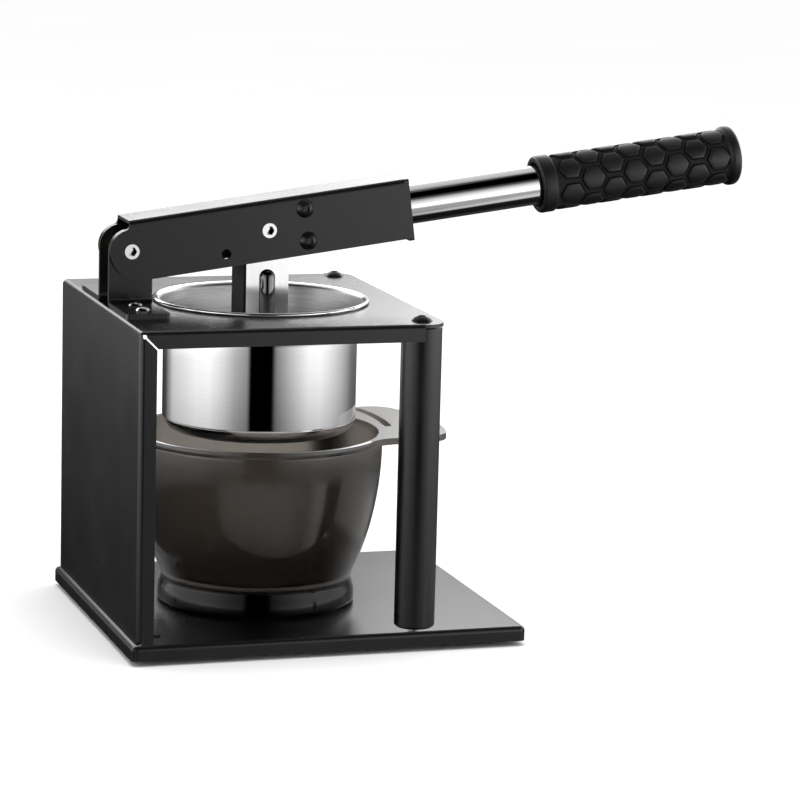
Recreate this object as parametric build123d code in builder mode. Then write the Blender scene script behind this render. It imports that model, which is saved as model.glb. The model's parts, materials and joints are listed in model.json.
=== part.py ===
from build123d import *
from math import cos, radians, sin
import os

os.makedirs("parts", exist_ok=True)

# Folded sheet steel of the base, the body and the lever
sheet = 2.0
bend_radius = 3.0
mitre_gap = 1.0
relief_diameter = 2.6
overrun = 5.0

# Clearances
running_gap = 0.05
slide_gap = 0.4
contact_gap = 1.0

# Rubber feet under the base
foot_diameter = 18.0
foot_drop = 3.2
foot_inset = 22.0
foot_taper = 6.0
foot_round = 1.0
foot_bore_diameter = 9.0
foot_bore_depth = 5.0

# Base pan
base_rear_overhang = 3.0
base_front_overhang = 52.5
base_side_overhang = 2.0
pan_height = 8.8
pan_corner_radius = 3.5

# Body: rear panel and top plate in one folded sheet
body_length = 183.5
body_width = 206.0
body_height = 182.0
flange_width = 10.0
flange_front_gap = 14.5
plate_corner_radius = 13.0
panel_corner_cut = 4.0
foot_flange_width = 18.0
foot_flange_side_gap = 16.0
body_screw_spacing_share = 0.34

# Front posts
post_diameter = 24.0
post_side_gap = 0.2
post_chamfer = 1.2
post_thread_depth = 18.0

# Fasteners
m6_diameter = 6.0
m6_head_diameter = 11.0
m6_head_height = 3.4
m6_socket = 4.0
m6_nut_width = 10.0
m6_nut_height = 5.0
post_head_diameter = 12.6
m4_diameter = 4.0
m4_head_diameter = 8.0
m4_head_height = 2.4
m4_socket = 2.5
m4_nut_width = 7.0
m4_nut_height = 3.2
socket_depth_share = 0.6

# Hinge brackets on the top plate
pivot_setback = 15.5
pivot_height = 33.2
ear_thickness = 3.0
ear_width = 26.0
bracket_reach = 59.0
bracket_bend_radius = 5.0
bracket_corner_radius = 2.0
bracket_screw_spacing = 19.0
bracket_screw_inset = 15.0

# Lever channel
lever_angle = 7.6
lever_width = 32.0
lever_height = 36.0
lever_length = 170.0
boss_radius = 13.0
web_lead = 0.8
shoulder_radius = 3.5
pin_diameter = 7.0
pin_head_diameter = 8.8
pin_head_height = 0.9
pin_socket = 5.0
barrel_thread_depth = 16.0
spare_hole_arm = 56.5
spare_hole_drop = 10.2
spare_hole_diameter = 6.0
end_plate_thickness = 3.0
end_plate_drop = 1.5
end_plate_corner = 1.2

# Handle
socket_height = 30.0
socket_bolt_gap = 23.2
socket_bolt_cover = 7.7
socket_bolt_spacing_share = 0.54
tube_diameter = 24.0
tube_wall = 2.0
tube_seat_gap = 8.8
grip_arm = 258.0
grip_length = 130.0
grip_diameter = 34.0
grip_end_cover = 5.0
grip_collar_diameter = 35.0
grip_collar_length = 9.0
grip_mouth_diameter = 28.0
grip_mouth_depth = 6.0
grip_flange_diameter = 36.6
grip_flange_length = 5.5
grip_neck_length = 4.0
grip_round = 2.6
pad_height = 1.3
pad_groove = 2.0
pad_count_round = 6
pad_columns = 8
pad_lead = 3.0
pad_tail = 2.5
pad_turn_angle = 6.0

# Press
press_arm = 84.0
yoke_width = 26.0
yoke_sheet = 2.5
yoke_bend_radius = 4.0
spine_thickness = 1.5
press_plate_diameter = 90.0
press_plate_thickness = 6.0
press_plate_round = 1.5
press_screw_spacing = 13.0
peg_diameter = 9.6
peg_height = 90.0
peg_setback = 2.2

# Strainer cup
cup_diameter = 116.4
cup_rim_diameter = 130.4
cup_sheet = 1.0
cup_depth = 77.5
cup_corner_radius = 9.0
cup_ledge_width = 17.0
cup_flare_radius = 5.8
rim_roll_diameter = 2.4
strainer_thickness = 1.5
strainer_hole = 5.0
strainer_rings = 3
strainer_first_count = 6

# Juice bowl
bowl_gap = 1.0
bowl_rim_diameter = 151.0
bowl_wall_diameter = 149.4
bowl_mid_diameter = 131.0
bowl_mid_height = 41.5
bowl_waist_diameter = 114.6
bowl_waist_height = 15.5
bowl_foot_flare = 2.4
bowl_foot_height = 7.0
bowl_foot_round = 3.5
bowl_foot_wall = 3.6
bowl_waist_round = 6.0
bowl_floor_round = 4.0
bowl_wall = 2.5
bowl_floor = 3.0
rim_thickness = 4.0
tab_reach = 116.0
tab_width = 100.0
tab_turn_angle = 7.0
tab_corner_radius = 16.0
tab_root_radius = 26.0
slot_radius = 82.0
slot_width = 6.0
slot_start_angle = -11.5
slot_sweep_angle = 42.5

# Heights above the table
pan_bottom = foot_drop
base_top = pan_bottom + pan_height
plate_top = base_top + body_height
pivot_z = plate_top + pivot_height

# Lever direction and the reach of the grip's rounded end
lever_dir = Vector(cos(radians(lever_angle)), 0, sin(radians(lever_angle)))
lever_up = Vector(-sin(radians(lever_angle)), 0, cos(radians(lever_angle)))
grip_end_arm = grip_arm + grip_length
grip_reach = (
    (grip_end_arm - grip_round) * lever_dir.X
    + (grip_flange_diameter / 2 - grip_round) * lever_dir.Z
    + grip_round
)

# Stations along the length, with the origin midway along the whole juicer
overall_length = base_rear_overhang + pivot_setback + grip_reach
rear_x = base_rear_overhang - overall_length / 2
front_x = rear_x + body_length
base_length = base_rear_overhang + body_length + base_front_overhang
base_mid_x = rear_x - base_rear_overhang + base_length / 2
base_width = body_width + 2 * base_side_overhang
pivot = Vector(rear_x + pivot_setback, 0, pivot_z)
press_pin = pivot + lever_dir * press_arm
cup_x = press_pin.X
post_x = front_x - post_side_gap - post_diameter / 2
post_y = body_width / 2 - sheet - post_side_gap - post_diameter / 2
foot_x = base_length / 2 - foot_inset
foot_y = base_width / 2 - foot_inset
foot_height = base_top - sheet
foot_nut_z = foot_bore_depth - m4_nut_height
body_screw_x = rear_x + (sheet + foot_flange_width) / 2
body_screw_spacing = body_width * body_screw_spacing_share
socket_bolt_spacing = lever_height * socket_bolt_spacing_share
socket_bolt_arm = press_arm + socket_bolt_gap
socket_rear_arm = socket_bolt_arm - socket_bolt_cover
tube_seat_arm = socket_bolt_arm + tube_seat_gap
inner_half = lever_width / 2 - sheet
ear_outer = inner_half - slide_gap
ear_inner = ear_outer - ear_thickness
bracket_x = pivot.X
foot_plate_top = plate_top + ear_thickness
bracket_screw_ys = [bracket_reach - bracket_screw_inset - n * bracket_screw_spacing for n in range(2)]

# Heights inside the cup and the bowl
cup_bottom = plate_top - cup_depth
cup_floor = cup_bottom + cup_sheet
strainer_top = cup_floor + strainer_thickness
press_bottom = strainer_top + contact_gap
press_top = press_bottom + press_plate_thickness
bowl_top = cup_bottom - bowl_gap


def lever_point(arm, rise=0):
    """A point at a distance along the lever from the pivot and a rise square to it."""
    return pivot + lever_dir * arm + lever_up * rise


def across_lever(arm, rise=0):
    """A plane square to the lever, with its Y axis towards the top of the lever."""
    return Plane(origin=lever_point(arm, rise), x_dir=(0, 1, 0), z_dir=lever_dir)


def round_profile(x):
    """An upright plane through a vertical axis at x, for turned pieces."""
    return Plane(origin=(x, 0, 0), x_dir=(1, 0, 0), z_dir=(0, -1, 0))


def socket_screw(diameter, length, head_diameter, head_height, socket):
    """A domed socket screw along Z: the seat of its head is at zero and its shank points down."""
    with BuildPart() as screw:
        with BuildSketch(Plane.XZ):
            with BuildLine():
                Polyline(
                    (0, head_height),
                    (0, -length),
                    (diameter / 2, -length),
                    (diameter / 2, 0),
                    (head_diameter / 2, 0),
                )
                TangentArc((0, head_height), (head_diameter / 2, 0), tangent=(1, 0))
            make_face()
        revolve(axis=Axis.Z)
        with BuildSketch(Plane.XY.offset(head_height)):
            RegularPolygon(radius=socket / 2, side_count=6, major_radius=False)
        extrude(amount=-head_height * socket_depth_share, mode=Mode.SUBTRACT)
    return screw.part


def hex_nut(width, height, bore):
    """A hexagon nut standing on its seat at zero."""
    with BuildPart() as nut:
        with BuildSketch():
            RegularPolygon(radius=width / 2, side_count=6, major_radius=False)
            Circle(bore / 2, mode=Mode.SUBTRACT)
        extrude(amount=height)
    return nut.part


def cross_places(arm, rises, side):
    """Places on a face square to Y, pointing outwards on the given side of the lever."""
    to_face = Vector(0, side * lever_width / 2, 0)
    return [Plane(origin=lever_point(arm, rise) + to_face, z_dir=(0, side, 0)).location for rise in rises]


def barrel_and_screw(center):
    """A flat-headed barrel from the near side of the lever and the screw that closes it from the far side."""
    half = lever_width / 2
    with BuildPart() as barrel:
        with BuildSketch(Plane.XZ.offset(half)):
            with Locations((center.X, center.Z)):
                Circle(pin_head_diameter / 2)
        extrude(amount=pin_head_height)
        with BuildSketch(Plane.XZ.offset(half)):
            with Locations((center.X, center.Z)):
                Circle(pin_diameter / 2)
        extrude(amount=-lever_width)
        with BuildSketch(Plane.XZ.offset(half + pin_head_height)):
            with Locations((center.X, center.Z)):
                RegularPolygon(radius=pin_socket / 2, side_count=6, major_radius=False)
        extrude(amount=-pin_socket, mode=Mode.SUBTRACT)
        with BuildSketch(Plane.XZ.offset(-half)):
            with Locations((center.X, center.Z)):
                Circle(m4_diameter / 2 + running_gap)
        extrude(amount=barrel_thread_depth, mode=Mode.SUBTRACT)
    with BuildPart() as screw:
        with BuildSketch(Plane.XZ.offset(-half)):
            with Locations((center.X, center.Z)):
                Circle(pin_head_diameter / 2)
        extrude(amount=-pin_head_height)
        with BuildSketch(Plane.XZ.offset(-half)):
            with Locations((center.X, center.Z)):
                Circle(m4_diameter / 2)
        extrude(amount=barrel_thread_depth)
        with BuildSketch(Plane.XZ.offset(-half - pin_head_height)):
            with Locations((center.X, center.Z)):
                RegularPolygon(radius=m4_socket / 2, side_count=6, major_radius=False)
        extrude(amount=pin_head_height + sheet, mode=Mode.SUBTRACT)
    return barrel.part, screw.part


# Base pan: one sheet folded down on four sides, with a slit and a round relief at each corner and a
# welded stud for each foot
with BuildPart() as base_pan:
    with BuildSketch(Plane.XY.offset(pan_bottom)):
        with Locations((base_mid_x, 0)):
            RectangleRounded(base_length, base_width, pan_corner_radius)
    extrude(amount=pan_height)
    fillet(base_pan.faces().sort_by(Axis.Z)[-1].edges(), radius=bend_radius)
    offset(amount=-sheet, openings=base_pan.faces().sort_by(Axis.Z)[0])
    for end, side in ((1, 1), (1, -1), (-1, 1), (-1, -1)):
        corner = Vector(base_mid_x + end * base_length / 2, side * base_width / 2, 0)
        with BuildSketch(Plane.XY.offset(pan_bottom)):
            with Locations(Location(corner, 45 * end * side)):
                Rectangle(2 * (bend_radius + sheet), mitre_gap / 2)
        extrude(amount=pan_height - bend_radius, mode=Mode.SUBTRACT)
        relief_center = corner + Vector(0, 0, base_top - bend_radius)
        with BuildSketch(Plane(origin=relief_center, z_dir=(end, side, 0))):
            Circle(relief_diameter / 2)
        extrude(amount=bend_radius + sheet, both=True, mode=Mode.SUBTRACT)
    with Locations((body_screw_x, 0, base_top)):
        with GridLocations(0, body_screw_spacing, 1, 3):
            Hole(m4_diameter / 2 + running_gap, depth=sheet)
    with Locations((post_x, post_y, base_top), (post_x, -post_y, base_top)):
        Hole(m6_diameter / 2 + running_gap, depth=sheet)
    with BuildSketch(Plane.XY.offset(foot_height)):
        with Locations((base_mid_x, 0)):
            with GridLocations(2 * foot_x, 2 * foot_y, 2, 2):
                Circle(m4_diameter / 2)
    extrude(amount=foot_nut_z - foot_height)
base_pan.part.label = "base_pan"
export_step(base_pan.part, "parts/base_pan.step")

# Body: rear panel, top plate and their side flanges, mitred at the upper rear corners
with BuildPart() as body_shell:
    with BuildSketch(Plane.XY.offset(base_top)):
        with Locations(((rear_x + front_x) / 2, 0)):
            Rectangle(body_length, body_width)
    extrude(amount=body_height)
    folds = body_shell.faces().sort_by(Axis.Z)[-1].edges() - body_shell.faces().sort_by(Axis.X)[-1].edges()
    folds += body_shell.faces().sort_by(Axis.X)[0].edges().filter_by(Axis.Z)
    fillet(folds, radius=bend_radius)
    open_faces = [body_shell.faces().sort_by(Axis.X)[-1], body_shell.faces().sort_by(Axis.Z)[0]]
    offset(amount=-sheet, openings=open_faces)
    with BuildSketch(Plane.XZ):
        with BuildLine():
            Polyline(
                (rear_x + flange_width, base_top - overrun),
                (rear_x + flange_width, plate_top - flange_width),
                (front_x - flange_front_gap, plate_top - flange_width),
                (front_x - flange_front_gap, plate_top + overrun),
                (front_x + overrun, plate_top + overrun),
                (front_x + overrun, base_top - overrun),
                close=True,
            )
        make_face()
    extrude(amount=body_width, both=True, mode=Mode.SUBTRACT)
    with BuildSketch(Plane.XY.offset(plate_top - sheet)) as front_strip:
        with Locations((front_x, 0)):
            Rectangle(flange_front_gap, body_width, align=(Align.MAX, Align.CENTER))
        fillet(front_strip.vertices().group_by(Axis.X)[-1], radius=plate_corner_radius)
    extrude(amount=sheet)
    for side in (1, -1):
        with BuildSketch(Plane.XZ.offset(side * body_width / 2)):
            with Locations(Location((rear_x + flange_width / 2, plate_top - flange_width / 2), -45)):
                Rectangle(2 * flange_width, mitre_gap)
            with Locations((rear_x + bend_radius, plate_top - bend_radius)):
                Circle(relief_diameter / 2)
        extrude(amount=-side * bend_radius, mode=Mode.SUBTRACT)
        with BuildSketch(Plane.YZ.offset(rear_x)):
            with Locations(Location((side * body_width / 2, base_top), 45)):
                Rectangle(panel_corner_cut, panel_corner_cut)
        extrude(amount=bend_radius, mode=Mode.SUBTRACT)
    foot_flange_length = body_width - 2 * foot_flange_side_gap
    with BuildSketch(Plane.XY.offset(base_top)):
        with Locations((rear_x + (sheet + foot_flange_width) / 2, 0)):
            Rectangle(foot_flange_width - sheet, foot_flange_length)
    extrude(amount=sheet)
    with Locations((body_screw_x, 0, base_top + sheet)):
        with GridLocations(0, body_screw_spacing, 1, 3):
            Hole(m4_diameter / 2 + running_gap, depth=sheet)
    with Locations((cup_x, 0, plate_top)):
        Hole(cup_rim_diameter / 2 - rim_roll_diameter, depth=sheet)
    with Locations((post_x, post_y, plate_top), (post_x, -post_y, plate_top)):
        Hole(m6_diameter / 2 + running_gap, depth=sheet)
    with Locations([(bracket_x, side * y, plate_top) for side in (1, -1) for y in bracket_screw_ys]):
        Hole(m4_diameter / 2 + running_gap, depth=sheet)
body_shell.part.label = "body_shell"
export_step(body_shell.part, "parts/body_shell.step")

# Front posts: round bars tapped at both ends
for name, side in (("post_near", -1), ("post_far", 1)):
    with BuildPart() as post:
        with BuildSketch(Plane.XY.offset(base_top)):
            with Locations((post_x, side * post_y)):
                Circle(post_diameter / 2)
        extrude(amount=body_height - sheet)
        chamfer(post.edges().filter_by(GeomType.CIRCLE), length=post_chamfer)
        for end in (post.faces().sort_by(Axis.Z)[-1], post.faces().sort_by(Axis.Z)[0]):
            with Locations(Plane(end)):
                Hole(m6_diameter / 2 + running_gap, depth=post_thread_depth)
    post.part.label = name
    export_step(post.part, f"parts/{name}.step")

# Domed screws that hold the top plate and the base to the posts
post_screw = socket_screw(m6_diameter, post_thread_depth, post_head_diameter, m6_head_height, m6_socket)
with BuildPart() as post_top_screws:
    with Locations((post_x, post_y, plate_top), (post_x, -post_y, plate_top)):
        add(post_screw)
post_top_screws.part.label = "post_top_screws"
export_step(post_top_screws.part, "parts/post_top_screws.step")

with BuildPart() as post_bottom_screws:
    with Locations(
        Location((post_x, post_y, base_top - sheet), (180, 0, 0)),
        Location((post_x, -post_y, base_top - sheet), (180, 0, 0)),
    ):
        add(post_screw)
post_bottom_screws.part.label = "post_bottom_screws"
export_step(post_bottom_screws.part, "parts/post_bottom_screws.step")

# Screws and nuts that hold the rear panel's foot to the base
body_screw_length = 2 * sheet + m4_nut_height
body_screw = socket_screw(m4_diameter, body_screw_length, m4_head_diameter, m4_head_height, m4_socket)
m4_nut = hex_nut(m4_nut_width, m4_nut_height, m4_diameter + 2 * running_gap)
with BuildPart() as body_screws:
    with Locations((body_screw_x, 0, base_top + sheet)):
        with GridLocations(0, body_screw_spacing, 1, 3):
            add(body_screw)
body_screws.part.label = "body_screws"
export_step(body_screws.part, "parts/body_screws.step")

with BuildPart() as body_nuts:
    with Locations((body_screw_x, 0, base_top - sheet - m4_nut_height)):
        with GridLocations(0, body_screw_spacing, 1, 3):
            add(m4_nut)
body_nuts.part.label = "body_nuts"
export_step(body_nuts.part, "parts/body_nuts.step")

# Rubber feet: tapered pieces inside the pan, each held on its stud by a sunk nut
with BuildPart() as foot:
    with BuildSketch(Plane.XY.offset(foot_height)):
        Circle(foot_diameter / 2)
    extrude(amount=-foot_height, taper=foot_taper)
    fillet(foot.faces().sort_by(Axis.Z)[0].edges(), radius=foot_round)
    with BuildSketch():
        Circle(foot_bore_diameter / 2)
    extrude(amount=foot_bore_depth, mode=Mode.SUBTRACT)
    with BuildSketch():
        Circle(m4_diameter / 2 + running_gap)
    extrude(amount=foot_height, mode=Mode.SUBTRACT)

with BuildPart() as rubber_feet:
    with Locations((base_mid_x, 0)):
        with GridLocations(2 * foot_x, 2 * foot_y, 2, 2):
            add(foot.part)
rubber_feet.part.label = "rubber_feet"
export_step(rubber_feet.part, "parts/rubber_feet.step")

with BuildPart() as foot_nuts:
    with Locations((base_mid_x, 0, foot_nut_z)):
        with GridLocations(2 * foot_x, 2 * foot_y, 2, 2):
            add(m4_nut)
foot_nuts.part.label = "foot_nuts"
export_step(foot_nuts.part, "parts/foot_nuts.step")

# Hinge brackets: two angles of thicker sheet, each with a foot on the plate and a round-topped ear
for name, side in (("hinge_bracket_near", -1), ("hinge_bracket_far", 1)):
    ear_mid = side * (ear_outer - ear_thickness / 2)
    with BuildPart() as bracket:
        with BuildSketch(Plane.YZ.offset(bracket_x - ear_width / 2)):
            with BuildLine():
                FilletPolyline(
                    (side * bracket_reach, plate_top + ear_thickness / 2),
                    (ear_mid, plate_top + ear_thickness / 2),
                    (ear_mid, pivot_z + ear_width / 2),
                    radius=bracket_bend_radius - ear_thickness / 2,
                )
            trace(line_width=ear_thickness)
        extrude(amount=ear_width)
        with BuildSketch(Plane.XZ):
            with Locations((bracket_x, (plate_top + pivot_z) / 2)):
                Rectangle(ear_width, pivot_height)
            with Locations((bracket_x, pivot_z)):
                Circle(ear_width / 2)
        extrude(amount=bracket_reach, both=True, mode=Mode.INTERSECT)
        outer_end = bracket.faces().sort_by(Axis.Y)[-1 if side > 0 else 0]
        fillet(outer_end.edges().filter_by(Axis.Z), radius=bracket_corner_radius)
        with Locations([(bracket_x, side * y, foot_plate_top) for y in bracket_screw_ys]):
            Hole(m4_diameter / 2 + running_gap, depth=ear_thickness)
        with BuildSketch(Plane.XZ):
            with Locations((pivot.X, pivot.Z)):
                Circle(pin_diameter / 2 + running_gap)
        extrude(amount=ear_outer + overrun, both=True, mode=Mode.SUBTRACT)
    bracket.part.label = name
    export_step(bracket.part, f"parts/{name}.step")

bracket_screw_length = ear_thickness + sheet + m4_nut_height
bracket_screw = socket_screw(m4_diameter, bracket_screw_length, m4_head_diameter, m4_head_height, m4_socket)
bracket_places = [(bracket_x, side * y) for side in (1, -1) for y in bracket_screw_ys]
with BuildPart() as bracket_screws:
    with Locations([(x, y, foot_plate_top) for x, y in bracket_places]):
        add(bracket_screw)
bracket_screws.part.label = "bracket_screws"
export_step(bracket_screws.part, "parts/bracket_screws.step")

with BuildPart() as bracket_nuts:
    with Locations([(x, y, plate_top - sheet - m4_nut_height) for x, y in bracket_places]):
        add(m4_nut)
bracket_nuts.part.label = "bracket_nuts"
export_step(bracket_nuts.part, "parts/bracket_nuts.step")

# Hinge pin of the lever, in two pieces, with the spacer bush between the ears
pivot_barrel, pivot_screw = barrel_and_screw(pivot)
pivot_barrel.label = "pivot_barrel"
export_step(pivot_barrel, "parts/pivot_barrel.step")
pivot_screw.label = "pivot_screw"
export_step(pivot_screw, "parts/pivot_screw.step")

with BuildPart() as pivot_bush:
    with BuildSketch(Plane.XZ):
        with Locations((pivot.X, pivot.Z)):
            Circle(pin_diameter)
            Circle(pin_diameter / 2 + running_gap, mode=Mode.SUBTRACT)
    extrude(amount=ear_inner, both=True)
pivot_bush.part.label = "pivot_bush"
export_step(pivot_bush.part, "parts/pivot_bush.step")

# Lever: a folded channel, open below, with a rounded rear end that steps up to the web
lever_side = Plane(origin=pivot, x_dir=lever_dir, z_dir=(0, -1, 0))
lower_center = lever_height / 2 - boss_radius
with BuildPart() as lever_channel:
    with BuildSketch(across_lever(-boss_radius)):
        with BuildLine():
            FilletPolyline(
                (-lever_width / 2 + sheet / 2, -lever_height / 2),
                (-lever_width / 2 + sheet / 2, lever_height / 2 - sheet / 2),
                (lever_width / 2 - sheet / 2, lever_height / 2 - sheet / 2),
                (lever_width / 2 - sheet / 2, -lever_height / 2),
                radius=bend_radius - sheet / 2,
            )
        trace(line_width=sheet)
    extrude(amount=boss_radius + lever_length)
    shoulder_rise = (boss_radius**2 - web_lead**2) ** 0.5
    with BuildSketch(lever_side) as lever_outline:
        with BuildLine():
            Line((lever_length, -lever_height / 2), (lower_center, -lever_height / 2))
            CenterArc((lower_center, 0), lever_height / 2, 180, 90)
            ThreePointArc(
                (-boss_radius, 0),
                (-boss_radius * cos(radians(45)), boss_radius * sin(radians(45))),
                (web_lead, shoulder_rise),
            )
            Polyline(
                (web_lead, shoulder_rise),
                (web_lead, lever_height / 2),
                (lever_length, lever_height / 2),
                (lever_length, -lever_height / 2),
            )
        make_face()
        shoulder = lever_outline.vertices().sort_by_distance((web_lead, shoulder_rise))[0]
        fillet(shoulder, radius=shoulder_radius)
    extrude(amount=lever_width, both=True, mode=Mode.INTERSECT)
    with BuildSketch(lever_side):
        with Locations((0, 0), (press_arm, 0)):
            Circle(pin_diameter / 2 + running_gap)
        with Locations((spare_hole_arm, -spare_hole_drop)):
            Circle(spare_hole_diameter / 2)
        with Locations((socket_bolt_arm, 0)):
            with GridLocations(0, socket_bolt_spacing, 1, 2):
                Circle(m6_diameter / 2 + running_gap)
    extrude(amount=lever_width, both=True, mode=Mode.SUBTRACT)
lever_channel.part.label = "lever_channel"
export_step(lever_channel.part, "parts/lever_channel.step")

# End plate that closes the front of the channel round the handle tube
end_plate_height = lever_height + end_plate_drop
with BuildPart() as lever_end_plate:
    with BuildSketch(across_lever(lever_length)):
        with Locations((0, -end_plate_drop / 2)):
            RectangleRounded(lever_width, end_plate_height, end_plate_corner)
        Circle(tube_diameter / 2 + running_gap, mode=Mode.SUBTRACT)
    extrude(amount=end_plate_thickness)
lever_end_plate.part.label = "lever_end_plate"
export_step(lever_end_plate.part, "parts/lever_end_plate.step")

# Socket block inside the channel: it takes the handle tube and two cross bolts
socket_length = lever_length - socket_rear_arm
with BuildPart() as handle_socket:
    with BuildSketch(across_lever(socket_rear_arm)):
        Rectangle(2 * inner_half, socket_height)
    extrude(amount=socket_length)
    with BuildSketch(across_lever(lever_length)):
        Circle(tube_diameter / 2 + running_gap)
    extrude(amount=tube_seat_arm - lever_length, mode=Mode.SUBTRACT)
    with BuildSketch(lever_side):
        with Locations((socket_bolt_arm, 0)):
            with GridLocations(0, socket_bolt_spacing, 1, 2):
                Circle(m6_diameter / 2 + running_gap)
    extrude(amount=lever_width, both=True, mode=Mode.SUBTRACT)
handle_socket.part.label = "handle_socket"
export_step(handle_socket.part, "parts/handle_socket.step")

# Cross bolts with black domed heads on the near side and nuts on the far side
bolt_rises = (socket_bolt_spacing / 2, -socket_bolt_spacing / 2)
socket_bolt = socket_screw(
    m6_diameter, lever_width + m6_nut_height, m6_head_diameter, m6_head_height, m6_socket
)
with BuildPart() as socket_bolts:
    with Locations(cross_places(socket_bolt_arm, bolt_rises, -1)):
        add(socket_bolt)
socket_bolts.part.label = "socket_bolts"
export_step(socket_bolts.part, "parts/socket_bolts.step")

m6_nut = hex_nut(m6_nut_width, m6_nut_height, m6_diameter + 2 * running_gap)
with BuildPart() as socket_nuts:
    with Locations(cross_places(socket_bolt_arm, bolt_rises, 1)):
        add(m6_nut)
socket_nuts.part.label = "socket_nuts"
export_step(socket_nuts.part, "parts/socket_nuts.step")

# Handle tube: chromed steel, from the socket block to the closed end of the grip
tube_length = grip_end_arm - grip_end_cover - running_gap - tube_seat_arm
with BuildPart() as handle_tube:
    with BuildSketch(across_lever(tube_seat_arm)):
        Circle(tube_diameter / 2)
        Circle(tube_diameter / 2 - tube_wall, mode=Mode.SUBTRACT)
    extrude(amount=tube_length)
handle_tube.part.label = "handle_tube"
export_step(handle_tube.part, "parts/handle_tube.step")

# Rubber grip: a turned sleeve with an open mouth, a closed flanged end and staggered hexagonal pads
core_radius = grip_diameter / 2 - pad_height
pad_span = grip_length - grip_collar_length - pad_lead - pad_tail - grip_flange_length
column_pitch = pad_span / pad_columns
pad_length = column_pitch * 4 / 3 - pad_groove
pad_width = grip_diameter * sin(radians(180 / pad_count_round)) - pad_groove
with BuildPart() as grip_pad:
    with BuildSketch():
        with BuildLine():
            Polyline(
                (-pad_length / 2, 0),
                (-pad_length / 4, pad_width / 2),
                (pad_length / 4, pad_width / 2),
                (pad_length / 2, 0),
                (pad_length / 4, -pad_width / 2),
                (-pad_length / 4, -pad_width / 2),
                close=True,
            )
        make_face()
    extrude(amount=grip_diameter)
    with BuildSketch(Plane.YZ):
        Circle(grip_diameter / 2)
        Circle(core_radius - pad_height, mode=Mode.SUBTRACT)
    extrude(amount=pad_length, both=True, mode=Mode.INTERSECT)

pad_places = []
for column in range(pad_columns):
    arm = grip_arm + grip_collar_length + pad_lead + (column + 1 / 2) * column_pitch
    pad_face = Plane(origin=lever_point(arm), x_dir=lever_dir, z_dir=lever_up)
    for row in range(pad_count_round):
        turn = pad_turn_angle + (row + (column % 2) / 2) * 360 / pad_count_round
        pad_places.append(pad_face.rotated((turn, 0, 0)).location)

neck_arm = grip_end_arm - grip_flange_length - grip_neck_length
with BuildPart() as handle_grip:
    with BuildSketch(lever_side) as grip_profile:
        with BuildLine():
            Polyline(
                (grip_arm, 0),
                (grip_arm, grip_collar_diameter / 2),
                (grip_arm + grip_collar_length, grip_collar_diameter / 2),
                (grip_arm + grip_collar_length, core_radius),
                (neck_arm, core_radius),
                (neck_arm + grip_neck_length, grip_flange_diameter / 2),
                (grip_end_arm, grip_flange_diameter / 2),
                (grip_end_arm, 0),
                close=True,
            )
        make_face()
        outer_end = grip_profile.vertices().sort_by_distance((grip_end_arm, grip_flange_diameter / 2))[0]
        mouth_end = grip_profile.vertices().sort_by_distance((grip_arm, grip_collar_diameter / 2))[0]
        fillet([outer_end, mouth_end], radius=grip_round)
    revolve(axis=Axis(pivot, lever_dir))
    with Locations(pad_places):
        add(grip_pad.part)
    with BuildSketch(across_lever(grip_arm)):
        Circle(tube_diameter / 2 + running_gap)
    extrude(amount=grip_length - grip_end_cover, mode=Mode.SUBTRACT)
    with BuildSketch(across_lever(grip_arm)):
        Circle(grip_mouth_diameter / 2)
    extrude(amount=grip_mouth_depth, mode=Mode.SUBTRACT)
handle_grip.part.label = "handle_grip"
export_step(handle_grip.part, "parts/handle_grip.step")

# Press pin of the lever, in two pieces
press_barrel, press_pin_screw = barrel_and_screw(press_pin)
press_barrel.label = "press_barrel"
export_step(press_barrel, "parts/press_barrel.step")
press_pin_screw.label = "press_pin_screw"
export_step(press_pin_screw, "parts/press_pin_screw.step")

# Press yoke: a polished strap bent into a U, hung from the press pin
yoke_half = inner_half - slide_gap
cheek_mid = yoke_half - yoke_sheet / 2
with BuildPart() as press_yoke:
    with BuildSketch(Plane.YZ.offset(cup_x - yoke_width / 2)):
        with BuildLine():
            FilletPolyline(
                (-cheek_mid, press_pin.Z + yoke_width / 2),
                (-cheek_mid, press_top + yoke_sheet / 2),
                (cheek_mid, press_top + yoke_sheet / 2),
                (cheek_mid, press_pin.Z + yoke_width / 2),
                radius=yoke_bend_radius - yoke_sheet / 2,
            )
        trace(line_width=yoke_sheet)
    extrude(amount=yoke_width)
    with BuildSketch(Plane.XZ):
        with Locations((cup_x, (press_top + press_pin.Z) / 2)):
            Rectangle(yoke_width, press_pin.Z - press_top)
        with Locations((cup_x, press_pin.Z)):
            Circle(yoke_width / 2)
    extrude(amount=lever_width, both=True, mode=Mode.INTERSECT)
    with BuildSketch(Plane.XZ):
        with Locations((press_pin.X, press_pin.Z)):
            Circle(pin_diameter / 2 + running_gap)
    extrude(amount=lever_width, both=True, mode=Mode.SUBTRACT)
    with Locations((cup_x, 0, press_top + yoke_sheet)):
        with GridLocations(press_screw_spacing, 0, 2, 1):
            Hole(m4_diameter / 2 + running_gap, depth=yoke_sheet)
press_yoke.part.label = "press_yoke"
export_step(press_yoke.part, "parts/press_yoke.step")

# Black strap that stiffens the rear of the yoke
spine_height = press_pin.Z - yoke_width / 2 - press_top
with BuildPart() as press_spine:
    with BuildSketch(Plane.XY.offset(press_top)):
        with Locations((cup_x - (yoke_width + spine_thickness) / 2, 0)):
            Rectangle(spine_thickness, 2 * yoke_half)
    extrude(amount=spine_height)
press_spine.part.label = "press_spine"
export_step(press_spine.part, "parts/press_spine.step")

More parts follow.
